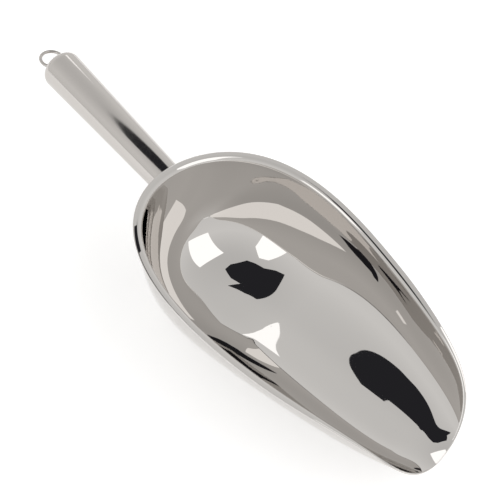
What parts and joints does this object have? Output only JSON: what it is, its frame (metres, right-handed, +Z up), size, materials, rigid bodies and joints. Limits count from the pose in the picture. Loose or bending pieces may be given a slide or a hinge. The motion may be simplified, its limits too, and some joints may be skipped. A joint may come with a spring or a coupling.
{
  "type": "ice scoop",
  "caption": "One-hand steel scoop with a deep round-backed trough, a flared rim that fades into a plain front lip, a hollow round handle and a small wire loop to hang it by.",
  "frame": {"origin": "middle of the footprint of the bounding box, on the surface that the scoop rests on", "axes": "+X towards the front lip, +Y sideways to the left of someone who holds the handle, +Z up"},
  "size_m": [0.3014, 0.1156, 0.0721],
  "materials": {
    "polished_sheet": "mirror polished stainless steel sheet",
    "polished_tube": "stainless steel tube, polished to a soft gloss with fine lengthwise marks",
    "bright_wire": "bright drawn stainless steel wire",
    "weld_metal": "stainless steel weld, brushed after welding"
  },
  "bodies": {
    "root": {"scoop_bowl": "polished_sheet", "handle_tube": "polished_tube", "handle_end_cap": "polished_tube", "hanging_loop": "bright_wire", "handle_weld": "weld_metal", "end_cap_weld": "weld_metal", "loop_weld_left": "weld_metal", "loop_weld_right": "weld_metal"}
  },
  "joints": []
}
